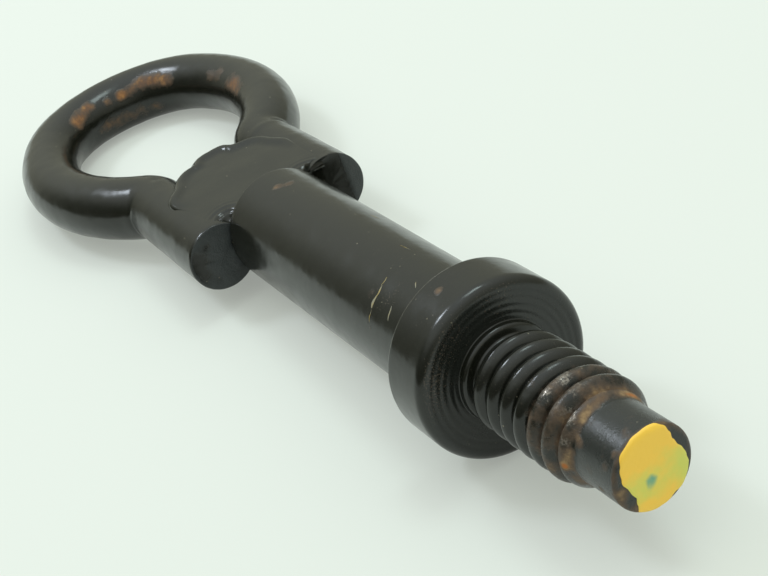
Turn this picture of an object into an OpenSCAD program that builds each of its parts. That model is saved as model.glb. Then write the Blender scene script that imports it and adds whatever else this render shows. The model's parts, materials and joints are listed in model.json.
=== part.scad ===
// Screw-in towing eye: a turned shaft with a coarse left-hand thread, a bent round bar that makes
// the eye, and four weld beads that join the two. It lies as it rests on a floor: the rear rim of
// the collar and the back of the eye touch Z = 0, the nose points to +X, and the origin is under
// the middle of the part. Places along the shaft are counted from the collar's front face.

/* [Nose and thread] */
// Diameter of the plain pilot at the nose
pilot_d = 13; // [10:0.1:14.5]
// Distance from the collar's face to the end of the nose
nose_len = 35.5; // [31:0.5:60]
// Rounding of the nose's front edge
nose_round = 0.7; // [0.4:0.1:2]
// Outside diameter of the thread
thread_d = 17; // [16:0.1:20]
// How far the root of the thread stands over the pilot
root_step = 0.3; // [0.2:0.05:0.4]
// Axial distance between two crests
thread_pitch = 3.5; // [2.5:0.1:5]
// Share of the pitch that the rounded crest takes up
crest_share = 0.94; // [0.6:0.02:1]
// Fullness of the crest: 0.5 is a half round, more is slimmer
crest_form = 0.7; // [0.5:0.05:1.5]
// Distance from the collar's face to the start of the thread
thread_from = 2.6; // [2:0.1:4]
// Distance from the collar's face to the end of the run-out
thread_to = 27; // [20:0.5:29]
// Length over which the thread rises at the collar
rise_len = 1.6; // [0.5:0.1:4]
// Length over which the thread's root falls to the pilot
root_fall = 1.5; // [0.5:0.1:4]
// Length over which the thread runs out at the nose
runout_len = 4.2; // [1:0.1:6]
// Direction of the thread: -1 is left-hand and 1 is right-hand
thread_hand = -1; // [-1, 1]
// Distance from the collar's face to a crest on top of the shaft
crest_at = 5.2; // [0:0.1:10]

/* [Collar and shank] */
// Diameter of the collar
collar_d = 30; // [28:0.5:40]
// Length of the collar
collar_len = 10; // [6:0.5:16]
// Rounding of the collar's front edge
collar_round = 1.2; // [0.4:0.1:2]
// Edge break of the collar's rear rim
collar_edge = 0.5; // [0.2:0.1:1.5]
// Diameter of the raised ring between collar and thread
ring_d = 16.5; // [15.5:0.1:18]
// Length of that ring
ring_len = 0.8; // [0.4:0.1:1.2]
// Chamfer of that ring's front edge
ring_edge = 0.3; // [0.1:0.05:0.35]
// Length of the slope from the ring down to the undercut
ring_slope = 0.5; // [0.2:0.1:0.8]
// How far the undercut lies below the thread's root
undercut_depth = 0.2; // [0.1:0.05:0.25]
// Number of turning grooves on the collar's face
groove_count = 4; // [1:1:5]
// Distance from the raised ring to the first groove
groove_gap = 1.05; // [0.6:0.05:1.5]
// Width of the plain land outside the grooves
face_land = 0.75; // [0.5:0.05:1.5]
// Width of a groove
groove_w = 0.4; // [0.3:0.1:0.8]
// Depth of a groove
groove_depth = 0.15; // [0.1:0.05:0.4]
// Diameter of the shank
shank_d = 22; // [19:0.5:25]
// Length of the shank between collar and shoulder
shank_len = 69.5; // [40:0.5:120]
// Edge break of the shank's shoulder
shank_edge = 0.6; // [0.2:0.1:1.5]
// Diameter of the spigot between the legs of the eye
spigot_d = 12.8; // [10:0.1:16]
// Length of the spigot behind the shoulder
spigot_len = 33; // [28:0.5:36]
// Rounding of the spigot's rear edge
spigot_round = 2.6; // [0.5:0.1:4]

/* [Eye bar] */
// Diameter of the bent bar
bar_d = 13.4; // [10:0.1:16]
// Space between the spigot and each leg
leg_gap = 0.3; // [0.1:0.05:0.8]
// Distance from the shoulder back to the end of the near leg
near_leg_gap = 0.3; // [0.1:0.1:3]
// Distance from the shoulder back to the end of the far leg
far_leg_gap = 2.3; // [0.1:0.1:4]
// Distance from the shoulder back to the reverse bends
leg_len = 33; // [28:0.5:50]
// Radius inside the reverse bends
neck_inner_r = 1; // [0.5:0.1:5]
// Radius of the two side arcs on the bar's centre line
side_r = 48; // [32:0.5:60]
// Radius of the rear arc on the bar's centre line
rear_r = 22.3; // [18:0.1:28]
// Half of the angle that the rear arc turns through
rear_half = 63; // [50:1:75]

/* [Weld beads] */
// Distance from the spigot's rear end to the end of each bead
bead_setback = 6.2; // [5:0.1:12]
// Height of the beads' crown over the shaft's middle
bead_top = 7; // [6.6:0.1:7.4]
// Radius of the crown across the bead
crown_r = 30; // [20:1:40]
// Rounding of the beads' rear end
bead_end_r = 6; // [3:0.5:8]
// Height over the shaft's middle that the weld reaches down to
bead_root = 1.5; // [1:0.1:3]

/* [Hidden] */
shaft_paint = [0.12, 0.115, 0.105];
bar_paint = [0.14, 0.135, 0.12];
weld_paint = [0.18, 0.175, 0.16];
$fn = 96;

pilot_r = pilot_d / 2;
thread_r = thread_d / 2;
root_r = pilot_r + root_step;
undercut_r = root_r - undercut_depth;
collar_r = collar_d / 2;
ring_r = ring_d / 2;
undercut_x = ring_len + ring_slope;
shank_r = shank_d / 2;
spigot_r = spigot_d / 2;
bar_r = bar_d / 2;

// turning grooves, spread evenly between the raised ring and the outer land
groove_in = ring_r + groove_gap;
groove_out = collar_r - collar_round - face_land - groove_w / 2;
groove_step = (groove_out - groove_in) / max(1, groove_count - 1);
cut_w = min(groove_w, 0.8 * groove_step);

// places along the shaft
shoulder_x = -collar_len - shank_len;
spigot_x = shoulder_x - spigot_len;
neck_x = shoulder_x - leg_len;
bead_len = spigot_len - bead_setback;

// The beads' round rear end would meet the crown this far over its top, and cuts run this far past
end_lift = 0.4;
past = 1;

// centre line of the eye's far half: leg, reverse bend, side arc, rear arc
leg_y = spigot_r + leg_gap + bar_r;
neck_r = bar_r + neck_inner_r;
neck_y = leg_y + neck_r;
side_end = 180 - rear_half;
side_y = -(side_r - rear_r) * sin(rear_half);
side_start = asin((neck_y - side_y) / (side_r + neck_r));
side_x = neck_x - (side_r + neck_r) * cos(side_start);
rear_x = side_x - (side_r - rear_r) * cos(rear_half);
back_x = rear_x - rear_r;

// rest on the floor: the collar's rear rim and the back of the eye touch it
rim_x = -collar_len + collar_edge;
rest_run = rim_x - back_x;
tilt = atan2(collar_r, rest_run) - asin(bar_r / norm([rest_run, collar_r]));
axis_z = bar_r - back_x * sin(tilt);
low_x = back_x * cos(tilt) - bar_r;
high_x = (nose_len - nose_round) * cos(tilt) + (pilot_r - nose_round) * sin(tilt) + nose_round;
mid_x = (low_x + high_x) / 2;

// Facets of the thread: steps round the shaft and along one pitch
round_steps = 40;
pitch_steps = 10;
// The skin's last ring stands this far over the pilot, so that the two don't share a surface
end_step = 0.1;
thread_len = thread_to - thread_from;
rows = ceil(thread_len / thread_pitch * pitch_steps);

// Facets of the bar: steps round it, and along its reverse bends, side arcs and half the rear arc
bar_steps = 36;
neck_steps = 7;
side_steps = 12;
rear_steps = 12;

// Points of an arc about c, from angle a0 to a1
function arc(c, r, a0, a1, n = 6) = [for (i = [0:n])
    let (a = a0 + (a1 - a0) * i / n) c + r * [cos(a), sin(a)]];

// Smooth step from 0 to 1 as t goes from 0 to 1
function ease(t) = let (u = max(0, min(1, t))) u * u * (3 - 2 * u);

// Height of the thread between root (0) and crest (1), where t counts pitches from a crest
function thread_form(t) =
    let (d = min(1, 2 * abs(t - round(t)) / crest_share))
    pow(1 - d * d, crest_form);

// Radius of the threaded stretch at height x and angle a
function thread_at(x, a) =
    let (t = (x - crest_at) / thread_pitch - thread_hand * (a - 180) / 360)
    let (grow = ease((x - thread_from) / rise_len) * ease((thread_to - x) / runout_len))
    let (base = root_r - (root_step - end_step) * ease(1 - (thread_to - x) / root_fall))
    base + (thread_r - root_r) * grow * thread_form(t);

// Half outline of one turning groove, as [radius, height]
function groove(r) = [[r + cut_w / 2, 0], [r, -groove_depth], [r - cut_w / 2, 0]];

// Half outline of the shaft, as [radius, height], from the spigot's rear end to the nose
shaft_outline = concat(
    [[0, spigot_x]],
    arc([spigot_r - spigot_round, spigot_x + spigot_round], spigot_round, -90, 0),
    [[spigot_r, shoulder_x]],
    arc([shank_r - shank_edge, shoulder_x + shank_edge], shank_edge, -90, 0, 3),
    [[shank_r, -collar_len]],
    arc([collar_r - collar_edge, rim_x], collar_edge, -90, 0, 3),
    arc([collar_r - collar_round, -collar_round], collar_round, 0, 90),
    [for (i = [groove_count - 1:-1:0]) each groove(groove_in + i * groove_step)],
    [[ring_r, 0], [ring_r, ring_len - ring_edge], [ring_r - ring_edge, ring_len]],
    [[undercut_r, undercut_x], [undercut_r, thread_from + rise_len], [pilot_r, thread_from + 2 * rise_len]],
    arc([pilot_r - nose_round, nose_len - nose_round], nose_round, 0, 90),
    [[0, nose_len]]
);

// Turn a shape built along Z so that it lies along X
module along_x() {
    rotate([0, 90, 0]) children();
}

// Lay the part on the floor
module lying() {
    translate([-mid_x, 0, axis_z]) rotate([0, -tilt, 0]) children();
}

// Threaded stretch as one closed skin of rings, with a fan at each end
module thread_body() {
    n = round_steps;
    ring_pts = [for (j = [0:rows], i = [0:n - 1])
        let (x = thread_from + thread_len * j / rows, a = 360 * i / n, r = thread_at(x, a))
        [r * cos(a), r * sin(a), x]];
    low = len(ring_pts);
    high = low + 1;
    skin = [for (j = [0:rows - 1], i = [0:n - 1])
        let (k = (i + 1) % n, a = j * n + i, b = j * n + k, c = a + n, d = b + n)
        each thread_hand < 0 ? [[a, c, b], [c, d, b]] : [[a, c, d], [a, d, b]]];
    caps = [for (i = [0:n - 1])
        let (k = (i + 1) % n)
        each [[low, i, k], [high, rows * n + k, rows * n + i]]];
    polyhedron(concat(ring_pts, [[0, 0, thread_from], [0, 0, thread_to]]), concat(skin, caps));
}

// Turned shaft: spigot, shank, collar, thread and nose
module shaft() {
    color(shaft_paint) lying() along_x() {
        rotate_extrude() polygon(shaft_outline);
        thread_body();
    }
}

// Stations of an arc of the bar about c: centre, and the direction that points out of the eye
function bend(c, r, a0, a1, n, flip = 0) = [for (i = [1:n])
    let (a = a0 + (a1 - a0) * i / n) [c + r * [cos(a), sin(a)], a + flip]];

// Stations of one half of the eye, from the end of its leg to the middle of the rear arc
function eye_half(end_gap) = concat(
    [[[shoulder_x - end_gap, leg_y], 90], [[neck_x, leg_y], 90]],
    bend([neck_x, neck_y], neck_r, 270, 180 + side_start, neck_steps, -180),
    bend([side_x, side_y], side_r, side_start, side_end, side_steps),
    bend([rear_x, 0], rear_r, side_end, 180, rear_steps)
);

// The same stations on the other side of the eye
function mirrored(st) = [for (i = [len(st) - 2:-1:0]) [[st[i][0][0], -st[i][0][1]], -st[i][1]]];

// Bent round bar as one closed skin of rings, with a fan at each end
module eye_bar() {
    n = bar_steps;
    path = concat(eye_half(far_leg_gap), mirrored(eye_half(near_leg_gap)));
    last = len(path) - 1;
    ring_pts = [for (st = path, i = [0:n - 1])
        let (a = 360 * i / n, c = st[0], w = bar_r * cos(a))
        [c[0] + w * cos(st[1]), c[1] + w * sin(st[1]), bar_r * sin(a)]];
    far = len(ring_pts);
    near = far + 1;
    skin = [for (j = [0:last - 1], i = [0:n - 1])
        let (k = (i + 1) % n, a = j * n + i, b = j * n + k, c = a + n, d = b + n)
        each [[a, b, d], [a, d, c]]];
    caps = [for (i = [0:n - 1])
        let (k = (i + 1) % n)
        each [[far, k, i], [near, last * n + i, last * n + k]]];
    ends = [for (j = [0, last]) [path[j][0][0], path[j][0][1], 0]];
    color(bar_paint) lying() polyhedron(concat(ring_pts, ends), concat(skin, caps));
}

// Bar of round section along the shaft, from the end of a bead to the shoulder and past both
module rod(r, y) {
    translate([shoulder_x - bead_len - past, y, 0]) along_x() cylinder(r = r, h = bead_len + 2 * past);
}

// What is left of a bead's box once its rear end is rounded: an upright block with one round edge
module rounded_end() {
    end_z = bead_top + end_lift - bead_end_r;
    translate([shoulder_x - bead_len, -past, 0]) {
        cube([bead_len, leg_y + 2 * past, end_z]);
        translate([bead_end_r, 0, 0]) cube([bead_len - bead_end_r, leg_y + 2 * past, bead_top + past]);
        translate([bead_end_r, 0, end_z]) rotate([-90, 0, 0]) cylinder(r = bead_end_r, h = leg_y + 2 * past);
    }
}

// One bead on the far top side: it fills the groove between spigot and leg under a low crown
module bead() {
    difference() {
        intersection() {
            translate([0, leg_y / 2, bead_top - crown_r]) rod(crown_r, 0);
            translate([shoulder_x - bead_len, leg_gap, bead_root]) cube([bead_len, leg_y - 2 * leg_gap, bead_top]);
            rounded_end();
        }
        rod(spigot_r, 0);
        rod(bar_r, leg_y);
    }
}

module weld_near_top() {
    color(weld_paint) lying() mirror([0, 1, 0]) bead();
}

module weld_far_top() {
    color(weld_paint) lying() bead();
}

module weld_near_under() {
    color(weld_paint) lying() mirror([0, 0, 1]) mirror([0, 1, 0]) bead();
}

module weld_far_under() {
    color(weld_paint) lying() mirror([0, 0, 1]) bead();
}

shaft();
eye_bar();
weld_near_top();
weld_far_top();
weld_near_under();
weld_far_under();
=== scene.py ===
"""Dresses the screw-in towing eye: enamelled shaft with its thread, bent bar, weld beads and paint mark.

Lengths named in this file are millimetres in the shaft's own frame: x runs along the shaft to the nose
and is 0 at the collar's front face, y points to the far leg of the eye, z points away from the floor.
A turn is counted round the shaft from its top towards the far leg, in whole turns or in degrees.
"""
import json
import math

import bmesh
import bpy
from mathutils import Matrix, Vector, noise


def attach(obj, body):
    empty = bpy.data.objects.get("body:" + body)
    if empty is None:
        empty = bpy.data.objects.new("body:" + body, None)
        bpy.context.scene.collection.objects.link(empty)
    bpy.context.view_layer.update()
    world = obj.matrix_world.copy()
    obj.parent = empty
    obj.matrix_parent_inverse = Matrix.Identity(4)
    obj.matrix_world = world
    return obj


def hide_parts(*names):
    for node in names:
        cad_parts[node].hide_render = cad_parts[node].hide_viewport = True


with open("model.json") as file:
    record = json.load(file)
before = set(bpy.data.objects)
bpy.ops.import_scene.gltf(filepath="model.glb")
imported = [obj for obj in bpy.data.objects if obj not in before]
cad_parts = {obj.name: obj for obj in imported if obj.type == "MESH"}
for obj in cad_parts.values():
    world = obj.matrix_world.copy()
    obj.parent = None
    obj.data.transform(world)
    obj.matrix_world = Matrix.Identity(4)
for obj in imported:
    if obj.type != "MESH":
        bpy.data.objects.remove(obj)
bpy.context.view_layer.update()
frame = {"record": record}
mounts = {m["name"]: m for m in frame["record"]["mounts"]}

# The shaft's frame, from the mount on the collar's face
FACE = Vector(mounts["collar_face"]["pos_m"])
ORIGIN = Vector((FACE.x, 0, FACE.z))
ALONG = Vector(mounts["collar_face"]["axis"]).normalized()
ABOVE = Vector((-ALONG.z, 0, ALONG.x))

# Shaft, from nose to spigot
PILOT_R = mounts["nose_pilot"]["dims"]["r_mm"]
NOSE_LEN = 35.5
NOSE_ROUND = 0.7
THREAD_R = 8.5
ROOT_R = PILOT_R + 0.3
UNDERCUT_R = ROOT_R - 0.2
PITCH = 3.5
CREST_AT = 5.2
CREST_SHARE = 0.94
CREST_FORM = 0.7
THREAD_FROM = 2.6
THREAD_TO = 27
RISE_LEN = 1.6
RUNOUT_LEN = 4.2
ROOT_FALL = 1.5
COLLAR_R = 15
COLLAR_LEN = 10
COLLAR_ROUND = 1.7
RING_R = 8.25
RING_LEN = 0.8
GROOVE_FIRST_R = 9.3
GROOVE_LAST_R = 12.85
GROOVE_STEP = (GROOVE_LAST_R - GROOVE_FIRST_R) / 3
GROOVE_DEPTH = 0.045
SHANK_R = 11
SHOULDER_X = -79.5
SPIGOT_R = 6.4
SPIGOT_X = -112.5

# Bent bar: the centre line of one half is a leg, a reverse bend, a side arc and half the rear arc
BAR_R = 6.7
LEG_Y = SPIGOT_R + 0.3 + BAR_R
NEAR_END_X = SHOULDER_X - 0.3
FAR_END_X = SHOULDER_X - 2.3
NECK_X = -112.5
NECK_R = BAR_R + 1
SIDE_R = 48
REAR_R = 22.3
REAR_HALF = math.radians(63)

# Camera: its place and the point it looks at in millimetres of the row's frame, and its roll
CAMERA_AT = (241.5, -73.1, 152.7)
CAMERA_TO = (38.96, -0.41, 15.0)
CAMERA_ROLL = math.radians(-20.67)
CAMERA_LENS = 70.5
CAMERA_SENSOR = 36

# How far the floor's own white lightens the shadows on it, as seen and mirrored, and half its side in metres
FLOOR_LIFT = 0.35
FLOOR_HALF = 6.0

# Light of the room: its level at the walls, what it gains overhead and how steeply, and the share that is
# left on the side that gives the least light
WALL_LEVEL = 0.47
OVERHEAD_GAIN = 1.03
OVERHEAD_POWER = 1.5
DIM_SHARE = 0.25
DIM_AZIMUTH = math.radians(-88)
DIM_SIDE = (math.cos(DIM_AZIMUTH), math.sin(DIM_AZIMUTH), 0.0)


def lay(p):
    """A point of the shaft's frame, in mm, as a place in the row's frame, in metres."""
    return ORIGIN + (ALONG * p[0] + Vector((0, 1, 0)) * p[1] + ABOVE * p[2]) / 1000


def round_shaft(x, r, degrees):
    """The point at x and r that is turned by so many degrees from the top towards the far side."""
    a = math.radians(degrees)
    return (x, r * math.sin(a), r * math.cos(a))


def ease(t):
    """Smooth step from 0 to 1."""
    t = max(0.0, min(1.0, t))
    return t * t * (3 - 2 * t)


def linear(hex_colour):
    """An sRGB hex colour as linear RGBA."""
    parts = [int(hex_colour[i:i + 2], 16) / 255 for i in (1, 3, 5)]
    return [c / 12.92 if c <= 0.04045 else ((c + 0.055) / 1.055) ** 2.4 for c in parts] + [1.0]


# Meshes

# Faces that meet at a steeper turn than this keep a sharp edge, and arcs of an outline turn this far a step
SHARP = math.radians(50)
ARC_STEP = math.radians(12)


def skin(name, bodies, material, node=None, masks=None):
    """One piece of closed skins through rows of points in mm. masks gives each point's named values, and
    a mask that a piece lacks reads 0 in its material."""
    points, faces = [], []
    for rows in bodies:
        n = len(rows[0])
        base = len(points)
        points += [p for row in rows for p in row]
        for j in range(len(rows) - 1):
            for i in range(n):
                a, b = base + j * n + i, base + j * n + (i + 1) % n
                faces.append((a, b, b + n, a + n))
        for first in (base, base + (len(rows) - 1) * n):
            ring = points[first:first + n]
            points.append(tuple(sum(p[axis] for p in ring) / n for axis in range(3)))
            faces += [(first + i, first + (i + 1) % n, len(points) - 1) for i in range(n)]
    mesh = bpy.data.meshes.new(name)
    mesh.from_pydata([lay(p) for p in points], [], faces)
    shape = bmesh.new()
    shape.from_mesh(mesh)
    bmesh.ops.recalc_face_normals(shape, faces=shape.faces)
    shape.to_mesh(mesh)
    shape.free()
    mesh.polygons.foreach_set("use_smooth", [True] * len(mesh.polygons))
    mesh.set_sharp_from_angle(angle=SHARP)
    for mask, value in (masks or {}).items():
        layer = mesh.attributes.new(mask, "FLOAT", "POINT")
        layer.data.foreach_set("value", [value(p) for p in points])
    piece = bpy.data.objects.new(name, mesh)
    bpy.context.scene.collection.objects.link(piece)
    mesh.materials.append(material)
    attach(piece, "root")
    if node:
        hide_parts(node)


def near_spots(p, spots):
    """How strongly spots (x, y, z, radius, strength) reach a point: each fades from its heart outwards."""
    left = 1.0
    for x, y, z, r, strength in spots:
        d = math.dist(p, (x, y, z)) / r
        if d < 1:
            left *= 1 - strength * (1 - d * d)
    return 1 - left


def rounded(corners):
    """An outline through (x, r, radius) corners, each replaced by an arc of its radius."""
    out = []
    for i, (x, r, radius) in enumerate(corners):
        here = Vector((x, r))
        if radius == 0:
            out.append(here)
            continue
        back = (Vector(corners[i - 1][:2]) - here).normalized()
        ahead = (Vector(corners[i + 1][:2]) - here).normalized()
        inside = back.angle(ahead)
        cut = radius / math.tan(inside / 2)
        middle = here + (back + ahead).normalized() * (radius / math.sin(inside / 2))
        a, b = here + back * cut - middle, here + ahead * cut - middle
        sweep = math.pi - inside
        steps = max(2, math.ceil(sweep / ARC_STEP))
        for s in range(steps + 1):
            part = s / steps
            mix = (a * math.sin((1 - part) * sweep) + b * math.sin(part * sweep)) / math.sin(sweep)
            out.append(middle + mix)
    return out


def filled(outline, step):
    """The outline with its long stretches divided, where step gives the longest one allowed at a point."""
    out = [outline[0]]
    for a, b in zip(outline, outline[1:]):
        n = max(1, math.ceil((b - a).length / step((a + b) / 2)))
        out += [a.lerp(b, i / n) for i in range(1, n + 1)]
    return out


def softened(points):
    """A line through the points with its corners cut again and again."""
    points = [Vector(p) for p in points]
    for _ in range(3):
        cut = [points[0]]
        for a, b in zip(points, points[1:]):
            cut += [a.lerp(b, 0.25), a.lerp(b, 0.75)]
        points = cut + [points[-1]]
    return points


# Shaft

# Steps round the shaft, and the longest ones along it: on the thread, across the collar's face, on the rest
# of the front and behind the collar
SHAFT_STEPS = 180
THREAD_STEP = 0.16
FACE_STEP = 0.11
FRONT_STEP = 0.4
REAR_STEP = 0.6
# Height over the pilot at which the thread's root ends
ROOT_END = 0.05
# The ring's soft shoulder ends and the undercut begins at these
RING_END = RING_LEN + 0.4
UNDERCUT_X = RING_LEN + 0.9
# Turning marks on the first crests: depth and pitch
TURNED_DEPTH = 0.025
TURNED_PITCH = 0.55
# Depth of the dents of use: on the outer half of the thread, and elsewhere
THREAD_DENTS = 0.09
PLAIN_DENTS = 0.03
THREAD_DENTS_FROM = 12


def thread_radius(x, turn):
    """Radius of the threaded stretch at x and at turn: a left-hand thread with full round crests."""
    t = (x - CREST_AT) / PITCH - turn
    d = min(1.0, 2 * abs(t - round(t)) / CREST_SHARE)
    grow = ease((x - THREAD_FROM) / RISE_LEN) * ease((THREAD_TO - x) / RUNOUT_LEN)
    base = ROOT_R - (ROOT_R - PILOT_R - ROOT_END) * ease(1 - (THREAD_TO - x) / ROOT_FALL)
    return base + (THREAD_R - ROOT_R) * grow * (1 - d * d) ** CREST_FORM


def groove_sink(r, turn):
    """How far the turning grooves, filled by the coat to soft waves, sink the collar's face at radius r."""
    filling = 0.95 + 0.7 * noise.noise(Vector(round_shaft(r, 2.5, 360 * turn)))
    wave = 0.5 + 0.5 * math.cos(2 * math.pi * (r - GROOVE_FIRST_R) / GROOVE_STEP)
    half = GROOVE_STEP / 2
    ends = ease((r - GROOVE_FIRST_R + half) / half) * ease((GROOVE_LAST_R + half - r) / half)
    return GROOVE_DEPTH * max(0.15, filling) * wave * ends


def shaft_point(x, r, turn):
    """A point of the shaft's surface, with the thread, its turning marks, the grooves and dents of use."""
    if THREAD_FROM < x < THREAD_TO and r < THREAD_R:
        r = thread_radius(x, turn)
        turned = TURNED_DEPTH * math.sin(2 * math.pi * x / TURNED_PITCH)
        r += turned * ease((7.2 - x) / 1.5) * ease((r - 7.4) / 0.6)
    if abs(x) < 0.01 and RING_R + 0.4 < r < COLLAR_R - 1.4:
        x -= groove_sink(r, turn)
    p = Vector(round_shaft(x, r, 360 * turn))
    if r > 3 and abs(x) > 0.3:
        dents = noise.noise(p * 0.9) * 0.5 + noise.noise(p * 2.3) * 0.25
        depth = THREAD_DENTS if THREAD_DENTS_FROM < x < THREAD_TO else PLAIN_DENTS
        p = Vector(round_shaft(x, r - depth * max(0.0, dents), 360 * turn))
    return tuple(p)


def shaft_rows():
    """The shaft from its rear end to its nose. Each corner is (x, radius, rounding)."""
    corners = [
        (SPIGOT_X, 0, 0), (SPIGOT_X, SPIGOT_R, 2.6), (SHOULDER_X, SPIGOT_R, 0.3), (SHOULDER_X, SHANK_R, 0.6),
        (-COLLAR_LEN, SHANK_R, 0.35), (-COLLAR_LEN, COLLAR_R, 0.5), (0, COLLAR_R, COLLAR_ROUND),
        (0, RING_R, 0.2), (RING_END, RING_R, 0.7), (UNDERCUT_X, UNDERCUT_R, 0.5), (THREAD_FROM, UNDERCUT_R, 0),
        (THREAD_TO, PILOT_R + ROOT_END, 0), (THREAD_TO + 0.1, PILOT_R, 0), (NOSE_LEN, PILOT_R, NOSE_ROUND),
        (NOSE_LEN, 0, 0),
    ]

    def step(p):
        if THREAD_FROM < p.x < THREAD_TO:
            return THREAD_STEP
        if abs(p.x) < 0.01:
            return FACE_STEP
        return FRONT_STEP if p.x > -COLLAR_LEN else REAR_STEP

    outline = filled(rounded(corners), step)
    return [[shaft_point(p.x, max(p.y, 0.02), i / SHAFT_STEPS) for i in range(SHAFT_STEPS)] for p in outline]


# Bent bar

# Steps round the bar and along a leg, and the longest step along a bend
BAR_STEPS = 96
LEG_STEPS = 40
BEND_STEP = 0.8
# Face of a cropped end: share of the radius, and how far the face stands out there
END_STAND = 0.22
END_FACE = ((0.995, 0.06), (0.985, 0.14), (0.96, 0.2)) + tuple((i / 10, END_STAND) for i in range(9, 0, -1))
# The near end's face falls off a little all round its middle
NEAR_FALL = 0.02
# The far end's face slopes into a hollow from this y towards the spigot
SHEAR_Y = 17.1
SHEAR_SLOPE = 0.4
SHEAR_DEPTH = 4


def bend(c, r, a0, a1, flip=0.0):
    """Stations (x, y, direction out of the eye) along an arc, without its first one."""
    n = max(8, math.ceil(abs(a1 - a0) * r / BEND_STEP))
    angles = [a0 + (a1 - a0) * i / n for i in range(1, n + 1)]
    return [(c[0] + r * math.cos(a), c[1] + r * math.sin(a), a + flip) for a in angles]


def bar_half(end_x):
    """Stations of one half of the eye, from the end of its leg to the middle of the rear arc."""
    neck_y = LEG_Y + NECK_R
    side_y = -(SIDE_R - REAR_R) * math.sin(REAR_HALF)
    start = math.asin((neck_y - side_y) / (SIDE_R + NECK_R))
    side_x = NECK_X - (SIDE_R + NECK_R) * math.cos(start)
    rear_x = side_x - (SIDE_R - REAR_R) * math.cos(REAR_HALF)
    leg = [(end_x - i * (end_x - NECK_X) / LEG_STEPS, LEG_Y, math.pi / 2) for i in range(LEG_STEPS + 1)]
    return (leg + bend((NECK_X, neck_y), NECK_R, 1.5 * math.pi, math.pi + start, -math.pi)
            + bend((side_x, side_y), SIDE_R, start, math.pi - REAR_HALF)
            + bend((rear_x, 0), REAR_R, math.pi - REAR_HALF, math.pi))


# Marks of the bending die on the legs, and a chip: place, half width along the leg and height. A mark
# runs this far round the bar
DIE_MARKS = (((-109.8, 13.0, 6.7), 1.0, 0.2), ((-113.6, -20.6, 2.5), 0.9, 0.3))
DIE_REACH = 7
CHIP = ((-113.1, -11.7, 6.2), 0.9, -0.35)


def bar_marks(p):
    """How far the die marks stand out of the bar at a point, and how far the chip sinks it."""
    height = CHIP[2] * math.exp(-((p - Vector(CHIP[0])).length / CHIP[1]) ** 2)
    for (x, y, z), half, stand in DIE_MARKS:
        across = math.exp(-((p.x - x) / half) ** 2)
        height += stand * across * max(0.0, 1 - math.hypot(p.y - y, p.z - z) / DIE_REACH)
    return height


def bar_rows():
    """The bar from the far leg's end round the eye to the near one's, with slow waves and rough end faces."""
    far, near = bar_half(FAR_END_X), bar_half(NEAR_END_X)
    stations = far + [(x, -y, -a) for x, y, a in reversed(near[:-1])]
    rows = []
    for x, y, out in stations:
        row = []
        for i in range(BAR_STEPS):
            a = 2 * math.pi * i / BAR_STEPS
            w, h = math.cos(a), math.sin(a)
            p = Vector((x + BAR_R * w * math.cos(out), y + BAR_R * w * math.sin(out), BAR_R * h))
            r = BAR_R + 0.06 * noise.noise(p * 0.2) + 0.03 * noise.noise(p * 0.7) + bar_marks(p)
            row.append((x + r * w * math.cos(out), y + r * w * math.sin(out), r * h))
        rows.append(row)
    ends = []
    for row, (x, y, _) in ((rows[0], stations[0]), (rows[-1], stations[-1])):
        face = []
        for share, stand in END_FACE:
            ring = [Vector((x + stand, y + (p[1] - y) * share, p[2] * share)) for p in row]
            for p in ring:
                rough = 0.14 * noise.noise(p * 0.4) + 0.04 * noise.noise(p * 1.5)
                if y > 0:
                    sunk = min(SHEAR_DEPTH, SHEAR_SLOPE * max(0.0, SHEAR_Y - p.y))
                else:
                    sunk = NEAR_FALL * abs(p.y - y) ** 1.5
                p.x += (rough - sunk) * (1 - share ** 8)
            face.append([tuple(p) for p in ring])
        ends.append(face)
    return ends[0][::-1] + rows + ends[1]


# Weld beads

# Height of the weld's top over the shaft's middle, its fall over a leg, its swells, and how low it reaches
WELD_Z = 6.95
WELD_FALL = 0.25
WELD_SWELL = 0.16
WELD_ROOT = 2.0
# Rows of a bead run from the shaft's middle plane to its edge, and the last one starts here
WELD_SPINE_X = -107
# Edge of the weld on each side, from the shoulder back: x and distance from the shaft's middle plane
NEAR_EDGE = ((-79.3, 13.5), (-88, 13.5), (-92, 14.0), (-96, 15.4), (-101, 14.4), (-106, 12.2), (-108.8, 9),
             (-109.2, 6), (-111.6, 4.4), (-112.4, 2), (-112.4, 0))
FAR_EDGE = ((-79.3, 13.5), (-88, 13.5), (-98, 13.5), (-104, 13.4), (-107.2, 11.2), (-108.4, 8),
            (-108.9, 6.2), (-111.6, 4.8), (-112.4, 2), (-112.4, 0))
# Steps along a bead, across its top and round its edge
WELD_ROWS = 170
TOP_STEPS = 44
ROUND_STEPS = 12
# Rounding of the edge at the shoulder, and how much more it is at the rear
EDGE_R = 0.7
EDGE_R_MORE = 2.3
# Height and half width of the soft rim along the weld's rear edge, and how far inside the edge it stands
WELD_RIM = 0.7
RIM_HALF = 1.3
RIM_INSET = 0.5
# A bead's front over the leg: how far it stands back, and how far it runs in under its top. The far one
# does so behind the hollow end of the leg. And how low the front's top lies there
NEAR_FRONT = (0.9, 0.0)
FAR_FRONT = (3.2, 6.0)
UNDERCUT_LEN = 12
FRONT_DROP = 1.6
# Where each bead ended in a pool: x and distance from the middle plane, then its depth and radius
POOL = (-80.4, 9.2)
POOL_DEPTH = 0.9
POOL_R = 2.6
# The ripples that froze in the pool: height, wavelength and radius over which they die out
RIPPLE = 0.3
RIPPLE_LEN = 1.35
RIPPLE_R = 3.0
# Where the near bead's rear end has lumped over the leg, and its height
LUMP = (-97.5, -12.6)
LUMP_HEIGHT = 0.4


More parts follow.
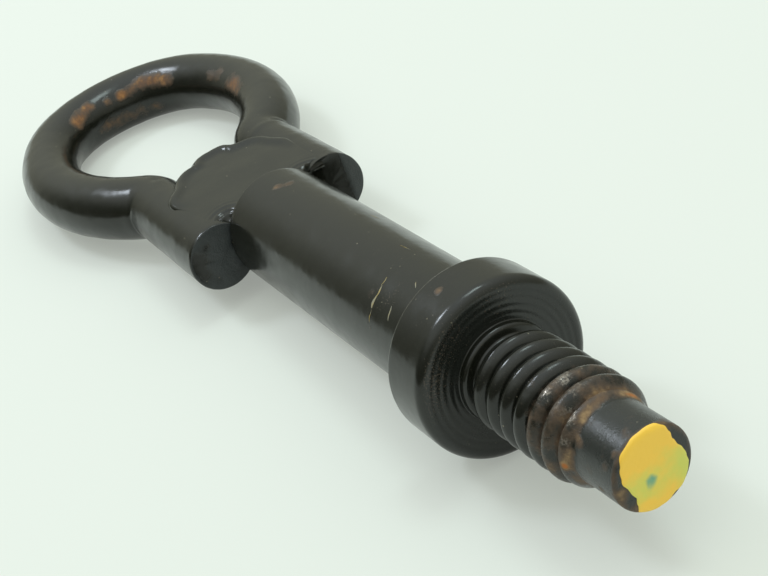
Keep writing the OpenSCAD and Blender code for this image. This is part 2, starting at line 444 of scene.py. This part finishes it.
def weld_top(x, y, up):
    """Height of the weld over the shaft's middle: nearly flat, with soft swells and the frozen pool."""
    over_leg = ease((abs(y) - 6.5) / 6.5)
    swell = WELD_SWELL * noise.noise(Vector((x * 0.13, y * 0.16, up * 3))) * (1 - over_leg)
    z = WELD_Z - WELD_FALL * over_leg + swell
    z += LUMP_HEIGHT * math.exp(-((x - LUMP[0]) / 5) ** 2 - ((y - LUMP[1]) / 2.4) ** 2)
    d = math.dist((x, abs(y)), POOL)
    ripples = RIPPLE * math.cos(2 * math.pi * d / RIPPLE_LEN) * math.exp(-(d / RIPPLE_R) ** 2)
    return z - POOL_DEPTH * math.exp(-(d / POOL_R) ** 2) + ripples


def bead_rows(side, up):
    """A bead between spigot and leg: side is 1 on the far side, up is 1 on top. Rows run backwards."""
    corners = softened(FAR_EDGE if side > 0 else NEAR_EDGE)
    length = sum((b - a).length for a, b in zip(corners, corners[1:]))
    edge = filled(corners, lambda p: length / WELD_ROWS)
    front_gap, undercut = FAR_FRONT if side > 0 else NEAR_FRONT
    rows = []
    for j, (x, y) in enumerate(edge):
        part = j / (len(edge) - 1)
        spine = Vector((edge[0].x + (WELD_SPINE_X - edge[0].x) * part, 0))
        run = (Vector((x, y)) - spine).length
        edge_r = EDGE_R + EDGE_R_MORE * ease((-96 - x) / 8)
        flat = run - edge_r
        places = [(flat * i / TOP_STEPS, 0.0) for i in range(TOP_STEPS + 1)]
        for i in range(1, ROUND_STEPS + 1):
            a = math.radians(90 * i / ROUND_STEPS)
            places.append((flat + edge_r * math.sin(a), edge_r * (1 - math.cos(a))))
        row = []
        for s, drop in places:
            q = spine.lerp(Vector((x, y)), s / run)
            behind = edge[0].x - q.x
            q.x -= front_gap * ease((q.y - 7.8) / 2.4) * max(0.0, 1 - behind / 5)
            front_drop = FRONT_DROP * ease((q.y - 7.6) / 2) * (1 - ease(behind / 1.8))
            rim = WELD_RIM * math.exp(-((flat - RIM_INSET - s) / RIM_HALF) ** 2) * ease((-93 - x) / 6)
            z = weld_top(q.x, side * q.y, up) + rim - drop - front_drop
            row.append((q.x, side * q.y, up * max(z, WELD_ROOT)))
        outer = Vector((row[-1][0], y))
        for s in (0.98, 0.5, 0.0):
            q = spine.lerp(outer, s)
            under_x = q.x - undercut * max(0.0, 1 - (edge[0].x - q.x) / UNDERCUT_LEN)
            row.append((under_x, side * q.y, up * (WELD_ROOT - 0.2)))
        rows.append(row)
    return rows


# Materials

MIX, MATH, RANGE = "ShaderNodeMix", "ShaderNodeMath", "ShaderNodeMapRange"
NOISE, BUMP = "ShaderNodeTexNoise", "ShaderNodeBump"
COLOURS = {"data_type": "RGBA"}
SMOOTH = {"interpolation_type": "SMOOTHSTEP"}
TIMES = {"operation": "MULTIPLY"}
TIMES_PLUS = {"operation": "MULTIPLY_ADD"}

# Sizes of the finish in mm: drifts of the coat's tone, rust patches, grit and pits, dust, the space of nicks,
# drifts of the gloss, brush drifts and ripples of the marker, and patches in a scratch
CLOUD_MM = 12.5
PATCH_MM = 2.22
GRIT_MM = 0.385
DUST_MM = 0.294
NICK_MM = 1.25
FILM_MM = 3.33
WASH_MM = 2.86
RIPPLE_MM = 1.67
RUBBED_MM = 2.0


def add(tree, kind, settings=None, **inputs):
    """One node. Each input is a value, or the output that it's linked from. i0 is the first by place."""
    made = tree.nodes.new(kind)
    for key, value in (settings or {}).items():
        setattr(made, key, value)
    for key, value in inputs.items():
        by_place = key[0] == "i" and key[1:].isdigit()
        socket = made.inputs[int(key[1:]) if by_place else key]
        if isinstance(value, bpy.types.NodeSocket):
            tree.links.new(value, socket)
        else:
            socket.default_value = value
    return made


def start(name):
    """A new material with its tree, its shader and its object coordinates in mm."""
    made = bpy.data.materials.new(name)
    made.use_nodes = True
    tree = made.node_tree
    shader = tree.nodes["Principled BSDF"]
    place = add(tree, "ShaderNodeTexCoord").outputs["Object"]
    place = add(tree, "ShaderNodeVectorMath", {"operation": "SCALE"}, i0=place, Scale=1000.0).outputs[0]
    return made, tree, shader, place


def enamel(name, tint, peel_mm, peel, rust, gloss_from=0.14):
    """Black alkyd enamel, dipped over bare steel. The eye gets a soft gloss with orange peel, dust in the
    coat, and dull steel and rust where the coat is rubbed off. tint and rust are each a darker and a lighter
    tone, peel_mm and peel the size and height of the orange peel, gloss_from the lowest roughness."""
    made, tree, shader, place = start(name)
    masks = {key: add(tree, "ShaderNodeAttribute", {"attribute_name": key}).outputs["Fac"]
             for key in ("rust", "bare", "grit_and_sheen", "dust")}
    cloud = add(tree, NOISE, Vector=place, Scale=1 / CLOUD_MM, Detail=3.0).outputs[0]
    fine = add(tree, NOISE, Vector=place, Scale=1 / PATCH_MM, Detail=6.0, Roughness=0.65).outputs[0]
    grain = add(tree, NOISE, Vector=place, Scale=1 / GRIT_MM, Detail=4.0, Roughness=0.7).outputs[0]
    coat = add(tree, MIX, COLOURS, i0=cloud, i6=linear(tint[0]), i7=linear(tint[1])).outputs[2]

    # the coarser coat of the grit mask, lightened to a blue-grey that is painted reflection of the floor and
    # room, then dust, and nicks that are 0.2 to 0.3 mm across
    coat = add(tree, MIX, COLOURS, i0=masks["grit_and_sheen"], i6=coat, i7=linear("#35393a")).outputs[2]
    speck = add(tree, NOISE, Vector=place, Scale=1 / DUST_MM, Detail=2.0, Roughness=0.6).outputs[0]
    speck = add(tree, MATH, TIMES_PLUS, i0=masks["dust"], i1=0.16, i2=speck).outputs[0]
    dust = add(tree, RANGE, SMOOTH, i0=speck, i1=0.64, i2=0.82).outputs[0]
    coat = add(tree, MIX, COLOURS, i0=dust, i6=coat, i7=linear("#4a423a")).outputs[2]
    cells = add(tree, "ShaderNodeTexVoronoi", Vector=place, Scale=1 / NICK_MM)
    pick = add(tree, "ShaderNodeSeparateColor", i0=cells.outputs["Color"]).outputs[0]
    fleck = add(tree, MATH, TIMES_PLUS, i0=cells.outputs["Distance"], i1=-1.0, i2=0.13).outputs[0]
    fleck = add(tree, RANGE, SMOOTH, i0=fleck, i1=0.0, i2=0.05).outputs[0]
    pick = add(tree, RANGE, SMOOTH, i0=pick, i1=0.8, i2=1.1).outputs[0]
    fleck = add(tree, MATH, TIMES, i0=fleck, i1=pick).outputs[0]
    coat = add(tree, MIX, COLOURS, i0=fleck, i6=coat, i7=linear("#8c8672")).outputs[2]

    # bare steel, then brown rust, its orange bloom, and fresh rust at the heart of the strongest spots
    def reach(mask, rough_edge, low, high):
        """A mask with its edge made ragged by a noise, from 0 at low to 1 at high."""
        ragged = add(tree, MATH, TIMES_PLUS, i0=rough_edge, i1=0.9, i2=mask).outputs[0]
        return add(tree, RANGE, SMOOTH, i0=ragged, i1=low, i2=high).outputs[0]

    steel = reach(masks["bare"], grain, 0.95, 1.2)
    brown = reach(masks["rust"], fine, 0.6, 1.0)
    bloom = reach(masks["rust"], fine, 0.85, 1.3)
    colour = add(tree, MIX, COLOURS, i0=steel, i6=coat, i7=linear("#9a938a")).outputs[2]
    colour = add(tree, MIX, COLOURS, i0=brown, i6=colour, i7=linear("#524030")).outputs[2]
    lighter = add(tree, RANGE, SMOOTH, i0=fine, i1=0.4, i2=0.7).outputs[0]
    orange = add(tree, MIX, COLOURS, i0=lighter, i6=linear(rust[0]), i7=linear(rust[1])).outputs[2]
    colour = add(tree, MIX, COLOURS, i0=bloom, i6=colour, i7=orange).outputs[2]
    fresh = add(tree, RANGE, SMOOTH, i0=masks["rust"], i1=0.74, i2=1.02).outputs[0]
    colour = add(tree, MIX, COLOURS, i0=fresh, i6=colour, i7=linear("#b0682e")).outputs[2]
    tree.links.new(colour, shader.inputs["Base Color"])
    tree.links.new(add(tree, MIX, i0=steel, i2=0.0, i3=0.7).outputs[0], shader.inputs["Metallic"])

    # roughness: a smear of grime over the gloss, then the coarser coat and rust
    film = add(tree, NOISE, Vector=place, Scale=1 / FILM_MM, Detail=4.0).outputs[0]
    gloss = add(tree, RANGE, i0=film, i1=0.3, i2=0.7, i3=gloss_from, i4=gloss_from + 0.12).outputs[0]
    gloss = add(tree, MIX, i0=masks["grit_and_sheen"], i2=gloss, i3=0.42).outputs[0]
    rough = add(tree, MIX, i0=brown, i2=gloss, i3=0.55).outputs[0]
    rough = add(tree, MIX, i0=bloom, i2=rough, i3=0.85).outputs[0]
    tree.links.new(rough, shader.inputs["Roughness"])
    shader.inputs["IOR"].default_value = 1.5

    # bump: orange peel, grit and the pits of rust, up to 0.1 mm deep
    orange_peel = add(tree, NOISE, Vector=place, Scale=1 / peel_mm, Detail=2.0).outputs[0]
    grit_height = add(tree, MATH, TIMES, i0=masks["grit_and_sheen"], i1=grain).outputs[0]
    pits = add(tree, MATH, TIMES, i0=brown, i1=grain).outputs[0]
    height = add(tree, MATH, TIMES_PLUS, i0=orange_peel, i1=peel, i2=grit_height).outputs[0]
    height = add(tree, MATH, {"operation": "ADD"}, i0=height, i1=pits).outputs[0]
    bump = add(tree, BUMP, Height=height, Strength=0.6, Distance=0.0002).outputs[0]
    tree.links.new(bump, shader.inputs["Normal"])
    return made


SHAFT_PAINT = enamel("black enamel on turned steel", ("#131410", "#1a1b14"), 2.5, 0.3, ("#745a40", "#a08560"))
BAR_PAINT = enamel("black enamel on bent bar", ("#141510", "#1b1c15"), 3.5, 0.4, ("#85552f", "#ad7f4b"), 0.15)
WELD_PAINT = enamel("black enamel on weld", ("#151610", "#1d1e16"), 2.5, 0.4, ("#85552f", "#ad7f4b"), 0.08)


def mark_paint():
    """Yellow marking enamel, dabbed on thick by hand. The eye gets a soft gloss over brush ripples, a warm
    yellow at the top, a greener one lower down, and a blue-green dot in the middle."""
    made, tree, shader, place = start("yellow marking enamel")
    green = add(tree, "ShaderNodeAttribute", {"attribute_name": "green"}).outputs["Fac"]
    dot = add(tree, "ShaderNodeAttribute", {"attribute_name": "dot"}).outputs["Fac"]
    wash = add(tree, NOISE, Vector=place, Scale=1 / WASH_MM, Detail=4.0).outputs[0]
    fac = add(tree, MATH, TIMES_PLUS, i0=wash, i1=0.9, i2=green).outputs[0]
    fac = add(tree, RANGE, SMOOTH, i0=fac, i1=0.5, i2=1.4).outputs[0]
    colour = add(tree, MIX, COLOURS, i0=fac, i6=linear("#ffce4a"), i7=linear("#d6d862")).outputs[2]
    ragged = add(tree, MATH, TIMES_PLUS, i0=wash, i1=0.6, i2=dot).outputs[0]
    ragged = add(tree, RANGE, SMOOTH, i0=ragged, i1=0.5, i2=1.1).outputs[0]
    colour = add(tree, MIX, COLOURS, i0=ragged, i6=colour, i7=linear("#6fa98a")).outputs[2]
    tree.links.new(colour, shader.inputs["Base Color"])
    ripple = add(tree, NOISE, Vector=place, Scale=1 / RIPPLE_MM, Detail=3.0).outputs[0]
    bump = add(tree, BUMP, Height=ripple, Strength=0.3, Distance=0.0002).outputs[0]
    tree.links.new(bump, shader.inputs["Normal"])
    shader.inputs["Roughness"].default_value = 0.42
    return made


def scratch_paint():
    """Steel laid bare by a scratch, dull and grey, with yellow marking enamel rubbed into it in patches."""
    made, tree, shader, place = start("scratched steel")
    patch = add(tree, NOISE, Vector=place, Scale=1 / RUBBED_MM, Detail=4.0).outputs[0]
    patch = add(tree, RANGE, SMOOTH, i0=patch, i1=0.4, i2=0.6).outputs[0]
    colour = add(tree, MIX, COLOURS, i0=patch, i6=linear("#8d8876"), i7=linear("#a08a4a")).outputs[2]
    tree.links.new(colour, shader.inputs["Base Color"])
    shader.inputs["Roughness"].default_value = 0.5
    return made


MARK_PAINT = mark_paint()
SCRATCHED = scratch_paint()

# Where rust has broken through, as (x, y, z, radius, strength)
BAR_RUST = (
    # inside the rear of the eye, high up
    (-171.0, -11.0, 3.9, 2.6, 0.5), (-172.2, -9.6, 4.1, 2.8, 0.5), (-173.6, -8.0, 4.5, 2.6, 0.5),
    (-175.0, -5.6, 4.8, 2.3, 0.65), (-174.6, -0.6, 3.9, 1.8, 0.5), (-174.9, 2.6, 3.5, 2.0, 0.75),
    (-174.3, 4.8, 3.7, 2.2, 0.5), (-173.6, 7.6, 4.4, 2.8, 0.5), (-172.4, 9.7, 4.6, 3.0, 0.5),
    (-170.8, 11.5, 4.3, 3.0, 0.5), (-168.4, 13.4, 3.9, 2.6, 0.55),
    # along the far side
    (-154.5, 19.8, 5.0, 2.6, 0.4), (-151, 21.1, 5.4, 2.8, 0.45), (-144.8, 20.9, 5.2, 3.0, 0.5),
    (-141.6, 20.7, 5.2, 3.0, 0.6), (-138.2, 19.9, 5.1, 2.8, 0.5),
    # inside the rear, low down
    (-173.6, -5, -1.2, 2.4, 0.4), (-174.0, -1.8, -1.6, 3.0, 0.4), (-173.9, 1.6, -2.0, 3.0, 0.4),
    (-173.2, 5.2, -2.2, 2.8, 0.4), (-171.4, 9.0, -2.2, 2.4, 0.4),
)
SHAFT_RUST = (
    # shank and collar
    (-71.6, -0.5, 11, 1.5, 0.5), (-70.9, 0.6, 11, 1.2, 0.25), (-70.3, 1.7, 10.9, 1.5, 0.5),
    (-23.4, -9.9, 4.8, 1.9, 0.3), (-25.4, -6.9, 8.6, 1.6, 0.25), (-6.2, -3.3, 14.6, 1.1, 0.55),
    # run-out of the thread
    (25.3, -7.4, 0.2, 1.3, 1.0), (26.2, -6.3, 2.6, 1.3, 0.5), (26.2, -4.8, 4.8, 1.3, 0.5),
    (26.2, -0.6, 6.8, 1.2, 0.5), (26.1, 3.4, 6.1, 1.3, 0.5), (27.4, -5.2, 3.8, 1.2, 0.5),
    # pilot and nose
    (32, -6.4, -1, 1.2, 0.4), (34.3, -4.2, 4.9, 0.9, 0.5), (35.3, -5.8, -0.5, 2.0, 0.5),
    (35.2, -4.6, -4.2, 2.2, 0.5),
)


def bar_rust(p):
    return near_spots(p, BAR_RUST)


def bar_grit_and_sheen(p):
    """1 on the cropped end faces of the legs, but not in the hollow of the far one: their coarser coat,
    lightened to a blue-grey that is painted reflection.
    """
    if p[1] < 0:
        return ease((p[0] - NEAR_END_X - 0.05) / 0.1)
    return ease((p[0] - FAR_END_X + 0.3) / 0.3) * ease((p[1] - SHEAR_Y + 0.6) / 0.6)


def shaft_rust(p):
    """Rust of the spots, and a film of it on the outer thread, its last crest, its root, the pilot and the
    nose's rim."""
    x = p[0]
    r = math.hypot(p[1], p[2])
    patchy = noise.noise(Vector(p) * 0.35)
    on_thread = (0.3 + 0.25 * patchy) * ease((x - 12) / 9) * ease(THREAD_TO + 0.5 - x)
    ring = (0.06 + 0.4 * patchy) * ease(1 - abs(x - 26.2) / 0.8)
    nose_rim = 0.45 * ease(1 - abs(x - NOSE_LEN + 0.4) / 0.9) * ease((r - 5.6) / 0.3)
    root = 0.15 * ease((x - 11) / 6) * ease((7.6 - r) / 0.6) * ease(THREAD_TO - x)
    pilot = (0.04 + 0.5 * patchy) * ease(x - THREAD_TO)
    return max(near_spots(p, SHAFT_RUST), on_thread + ring + root, nose_rim, pilot)


# Where the coat is worn to steel, as (x, y, z, radius, strength)
WORN = (
    # crests of the thread
    round_shaft(15.1, 8.4, -27) + (1.5, 0.55), round_shaft(18.5, 8.4, -26) + (2.5, 0.7),
    round_shaft(18.9, 8.4, -4) + (2.8, 0.68), round_shaft(21.8, 8.0, -34) + (2.3, 0.72),
    round_shaft(22.4, 8.0, -6) + (2.8, 0.65), round_shaft(24.8, 7.2, -32) + (2.4, 0.7),
    round_shaft(25.2, 7.0, -58) + (1.8, 0.65),
    # chips on the collar and the shank
    (0, 9.2, 10.9, 0.5, 0.8), (-3.3, -6.5, 13.5, 0.8, 0.58), (-3.4, -7.7, 12.9, 0.8, 0.48),
    (-5.4, -8.8, 12.1, 0.8, 0.52), (-2.1, -8.9, 12.0, 0.75, 0.46), (-5.1, -9.7, 11.4, 0.75, 0.44),
    (-38.3, -8.5, 7.0, 1.0, 0.55),
)


def shaft_bare(p):
    """The collar's rear rim and the worn places, which on the thread are kept to its crests."""
    r = math.hypot(p[1], p[2])
    rim = ease(1 - abs(p[0] + COLLAR_LEN - 0.25) / 0.25) * ease((r - COLLAR_R + 0.5) / 0.4)
    crest = near_spots(p, WORN) * (ease((r - 7.4) / 0.5) if 1 < p[0] < 23 else 1.0)
    return max(rim, crest)


def shaft_grit_and_sheen(p):
    """A coarser coat on the collar's front face and on the pilot, lightened to a blue-grey that is painted
    reflection.
    """
    r = math.hypot(p[1], p[2])
    if p[0] > THREAD_TO:
        return 0.35
    return 0.2 * ease((0.35 - abs(p[0])) / 0.3) * ease((COLLAR_R - 0.6 - r) / 0.5) * ease((r - RING_R) / 0.3)


# Where dust sits in the coat of the collar's face and by the scratches, as (x, y, z, radius, strength)
DUSTY = (
    (0, -12.4, 5, 4.5, 0.95), (0, -10.5, 8.2, 4.2, 0.7), (0, -6.5, 11, 4.5, 0.65), (0, -12.6, 1.5, 3, 0.5),
    (0, 3, 13, 5, 0.5), (-20.2, -5.6, 9.4, 3.4, 0.6),
)


def shaft_dust(p):
    """Dust of the collar's face, which stops at its edge, and of the shank."""
    return near_spots(p, DUSTY) * (ease((0.6 - abs(p[0])) / 0.5) if p[0] > -COLLAR_LEN else 1.0)


def clean(p):
    """The value of a mask that leaves the coat whole."""
    return 0.0


shaft_masks = {"rust": shaft_rust, "bare": shaft_bare, "grit_and_sheen": shaft_grit_and_sheen, "dust": shaft_dust}
bar_masks = {"rust": bar_rust, "bare": clean, "grit_and_sheen": bar_grit_and_sheen}
weld_masks = {"rust": clean, "bare": clean, "grit_and_sheen": clean}
skin("shaft_enamelled", [shaft_rows()], SHAFT_PAINT, "shaft", shaft_masks)
skin("eye_bar_enamelled", [bar_rows()], BAR_PAINT, "eye_bar", bar_masks)
for side_name, side in (("near", -1), ("far", 1)):
    for level_name, level in (("top", 1), ("under", -1)):
        node = f"weld_{side_name}_{level_name}"
        skin(f"{node}_bead", [bead_rows(side, level)], WELD_PAINT, node, weld_masks)

# Paint mark on the nose: degrees from the top towards the far side, and distance from the middle
# along the surface, which goes over the rounded edge from 5.8 on
MARK_EDGE = (
    (-165, 6.3), (-141, 6.4), (-133, 5.3), (-122, 4.5), (-95, 4.5), (-75, 5.3), (-55, 5.9), (-38, 6.5),
    (-10, 6.7), (18, 6.8), (30, 6.3), (43, 5.5), (56, 4.7), (70, 4.6), (85, 5.0), (102, 5.3), (115, 5.8),
    (130, 6.0), (147, 6.2), (160, 5.8), (178, 6.2), (195, 6.3),
)
MARK_STEPS = 144
# Skin of the mark from its middle out to its edge and back below: share of the edge's distance, and height
MARK_SKIN = (
    (0.02, 0.16), (0.2, 0.16), (0.4, 0.15), (0.6, 0.15), (0.75, 0.15), (0.85, 0.14), (0.92, 0.13), (0.97, 0.1),
    (0.995, 0.05), (1.0, -0.05), (0.6, -0.05), (0.02, -0.05),
)


def nose_point(s, degrees, lift):
    """The point lift over the nose's surface, s from its middle along the surface."""
    flat = PILOT_R - NOSE_ROUND
    a = min(math.pi / 2, max(0.0, (s - flat) / NOSE_ROUND))
    past_edge = max(0.0, s - flat - NOSE_ROUND * math.pi / 2)
    x = NOSE_LEN - NOSE_ROUND + (NOSE_ROUND + lift) * math.cos(a) - past_edge
    r = min(s, flat) + (NOSE_ROUND + lift) * math.sin(a)
    return round_shaft(x, max(r, 0.02), degrees)


def mark_rows():
    rows = []
    spans = list(zip(MARK_EDGE, MARK_EDGE[1:]))
    for share, lift in MARK_SKIN:
        row = []
        for i in range(MARK_STEPS):
            degrees = MARK_EDGE[0][0] + 360 * i / MARK_STEPS
            (a0, s0), (a1, s1) = next(span for span in spans if span[0][0] <= degrees < span[1][0])
            edge = s0 + (s1 - s0) * ease((degrees - a0) / (a1 - a0))
            edge += 0.12 * noise.noise(Vector(round_shaft(3, 5, degrees)) * 0.8)
            row.append(nose_point(edge * share, degrees, lift))
        rows.append(row)
    return rows


# Where the yellow turns greener, and its dot, as (x, y, z, radius, strength)
MARK_DOT = ((NOSE_LEN, -0.9, -1.3, 1.5, 0.8),)
MARK_GREEN = (
    (NOSE_LEN, -4.2, -1.4, 3.4, 0.75), (NOSE_LEN, 4.6, -2, 4.2, 0.75), (NOSE_LEN, -0.5, -1.7, 3.4, 0.6),
    (NOSE_LEN, 1.5, 0.8, 2.6, 0.25), (NOSE_LEN, 3.5, -5, 3, 0.3),
)


def mark_green(p):
    return near_spots(p, MARK_GREEN)


def mark_dot(p):
    return near_spots(p, MARK_DOT)


skin("nose_paint_mark", [mark_rows()], MARK_PAINT, None, {"green": mark_green, "dot": mark_dot})

# Scratches on the shank, each from (x, degrees) to (x, degrees), with its width
SCRATCHES = (
    (-24.3, -19, -23.9, -28, 0.16), (-23.7, -27, -23.6, -38, 0.28), (-23.8, -36, -23.6, -48, 0.6),
    (-23.6, -49, -23.3, -60, 0.16), (-18.8, -37, -18.0, -49, 0.26), (-17.6, -9, -16.6, -14, 0.12),
    (-46.8, 31, -44.2, 34, 0.1), (-30.3, 14, -27.2, 16, 0.1), (-14.2, -30, -14.9, -24, 0.1),
)
SCRATCH_STEPS = 12


def scratch_rows(x0, a0, x1, a1, width):
    """A thin sliver that stands 0.03 mm over the shank, with a crooked line and a tapering width."""
    rows = []
    for j in range(SCRATCH_STEPS + 1):
        part = j / SCRATCH_STEPS
        half = width / 2 * math.sin(math.pi * (0.06 + 0.88 * part))
        x = x0 + (x1 - x0) * part + 0.12 * math.sin(5 * part + a0)
        degrees = a0 + (a1 - a0) * part
        away = math.degrees(half / SHANK_R)
        rows.append([
            round_shaft(x + half, SHANK_R + 0.01, degrees + away), round_shaft(x, SHANK_R + 0.03, degrees),
            round_shaft(x - half, SHANK_R + 0.01, degrees - away), round_shaft(x, SHANK_R - 0.05, degrees),
        ])
    return rows


skin("shank_scratches", [scratch_rows(*s) for s in SCRATCHES], SCRATCHED)


# Stage, light and camera

def floor():
    """A matt floor. What is seen of it straight or mirrored also glows a little, so that it stays pale."""
    mesh = bpy.data.meshes.new("floor")
    corners = [(x * FLOOR_HALF, y * FLOOR_HALF, 0) for x, y in ((-1, -1), (1, -1), (1, 1), (-1, 1))]
    mesh.from_pydata(corners, [], [(0, 1, 2, 3)])
    made, tree, shader, _ = start("pale matt floor")
    shader.inputs["Base Color"].default_value = linear("#dfe3dc")
    shader.inputs["Roughness"].default_value = 0.9
    shader.inputs["Specular IOR Level"].default_value = 0.0
    rays = add(tree, "ShaderNodeLightPath").outputs
    seen = rays["Is Camera Ray"]
    for key in ("Is Glossy Ray", "Is Transmission Ray"):
        seen = add(tree, MATH, {"operation": "MAXIMUM"}, i0=seen, i1=rays[key]).outputs[0]
    share = add(tree, MATH, TIMES, i0=seen, i1=FLOOR_LIFT).outputs[0]
    glow = add(tree, "ShaderNodeEmission", Color=linear("#e8eee6"), Strength=1.0).outputs[0]
    both = add(tree, "ShaderNodeMixShader", i0=share, i1=shader.outputs[0], i2=glow).outputs[0]
    tree.links.new(both, tree.nodes["Material Output"].inputs["Surface"])
    mesh.materials.append(made)
    piece = bpy.data.objects.new("floor", mesh)
    bpy.context.scene.collection.objects.link(piece)


def lamp(name, azimuth, elevation, distance, size, power, colour):
    """A square soft light that shines on the middle of the part."""
    data = bpy.data.lights.new(name, "AREA")
    data.size = size
    data.energy = power
    data.color = linear(colour)[:3]
    a, e = math.radians(azimuth), math.radians(elevation)
    away = Vector((math.cos(a) * math.cos(e), math.sin(a) * math.cos(e), math.sin(e)))
    piece = bpy.data.objects.new(name, data)
    piece.location = away * distance
    piece.rotation_mode = "QUATERNION"
    piece.rotation_quaternion = away.to_track_quat("Z", "Y")
    bpy.context.scene.collection.objects.link(piece)


def room():
    """Soft room light: bright overhead, dim towards the walls, and dimmest low down beside the near leg."""
    world = bpy.data.worlds.new("room")
    bpy.context.scene.world = world
    world.use_nodes = True
    tree = world.node_tree
    way = add(tree, "ShaderNodeTexCoord").outputs["Generated"]
    height = add(tree, "ShaderNodeSeparateXYZ", Vector=way).outputs["Z"]
    up = add(tree, MATH, {"operation": "MAXIMUM"}, i0=height, i1=0.0).outputs[0]
    up = add(tree, MATH, {"operation": "POWER"}, i0=up, i1=OVERHEAD_POWER).outputs[0]
    level = add(tree, MATH, TIMES_PLUS, i0=up, i1=OVERHEAD_GAIN, i2=WALL_LEVEL).outputs[0]
    facing = add(tree, "ShaderNodeVectorMath", {"operation": "DOT_PRODUCT"}, i0=way, i1=DIM_SIDE)
    facing = facing.outputs["Value"]
    near = add(tree, RANGE, SMOOTH, i0=facing, i1=0.1, i2=0.85).outputs[0]
    low = add(tree, RANGE, SMOOTH, i0=height, i1=0.75, i2=0.35).outputs[0]
    dim = add(tree, MATH, TIMES, i0=near, i1=low).outputs[0]
    left = add(tree, MIX, i0=dim, i2=1.0, i3=DIM_SHARE).outputs[0]
    level = add(tree, MATH, TIMES, i0=level, i1=left).outputs[0]
    back = tree.nodes["Background"]
    tree.links.new(level, back.inputs["Strength"])
    tint = add(tree, MIX, COLOURS, i0=height, i6=linear("#f3f5dc"), i7=linear("#eff7f6")).outputs[2]
    tree.links.new(tint, back.inputs["Color"])


def camera():
    data = bpy.data.cameras.new("camera")
    data.lens = CAMERA_LENS
    data.sensor_width = CAMERA_SENSOR
    data.clip_start = 0.01
    piece = bpy.data.objects.new("camera", data)
    at, to = Vector(CAMERA_AT) / 1000, Vector(CAMERA_TO) / 1000
    turn = (to - at).to_track_quat("-Z", "Y").to_matrix() @ Matrix.Rotation(CAMERA_ROLL, 3, "Z")
    piece.matrix_world = Matrix.Translation(at) @ turn.to_4x4()
    bpy.context.scene.collection.objects.link(piece)
    bpy.context.scene.camera = piece


floor()
lamp("window", -151, 52, 0.9, 0.18, 2.0, "#e9f3ff")
lamp("ceiling_light", 100, 72, 1.2, 0.34, 2.2, "#e6fbf8")
room()
camera()
bpy.context.scene.view_settings.view_transform = "Standard"
